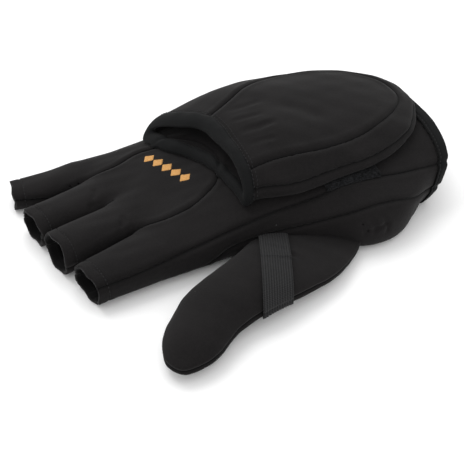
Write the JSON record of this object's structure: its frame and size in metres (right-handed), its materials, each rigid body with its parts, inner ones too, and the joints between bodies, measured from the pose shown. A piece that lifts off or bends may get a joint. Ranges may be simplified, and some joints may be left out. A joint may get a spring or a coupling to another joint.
{
  "type": "flip-top half-finger fishing glove, right hand",
  "caption": "Soft cloth glove with cut finger tubes, a closed thumb under an elastic strap, and a mitten hood folded back over the back of the hand.",
  "frame": {"origin": "on the flat underside of the palm, at the middle of the palm, where the glove lies on a surface", "axes": "+X from the palm to the cuff, with the fingers to -X, the thumb to -Y, the back of the hand and the hood to +Z"},
  "size_m": [0.2604, 0.2023, 0.0653],
  "materials": {
    "softshell": "matt black softshell cloth with a fine pile",
    "tape": "folded black binding tape, slightly cooler and smoother than the cloth",
    "elastic": "dark grey woven elastic with ribs along its length",
    "loop_pile": "black fuzzy loop half of a hook-and-loop fastener"
  },
  "bodies": {
    "root": {"back_panel": "softshell", "back_centre_panel": "softshell", "side_strip": "softshell", "palm_panel": "softshell", "thumb_upper_panel": "softshell", "thumb_lower_panel": "softshell", "thumb_strap": "elastic", "loop_patch": "loop_pile", "cuff_binding": "tape", "hood_under_panel": "softshell", "hood_gusset": "softshell", "hood_top_panel": "softshell", "hood_binding": "tape"}
  },
  "joints": []
}
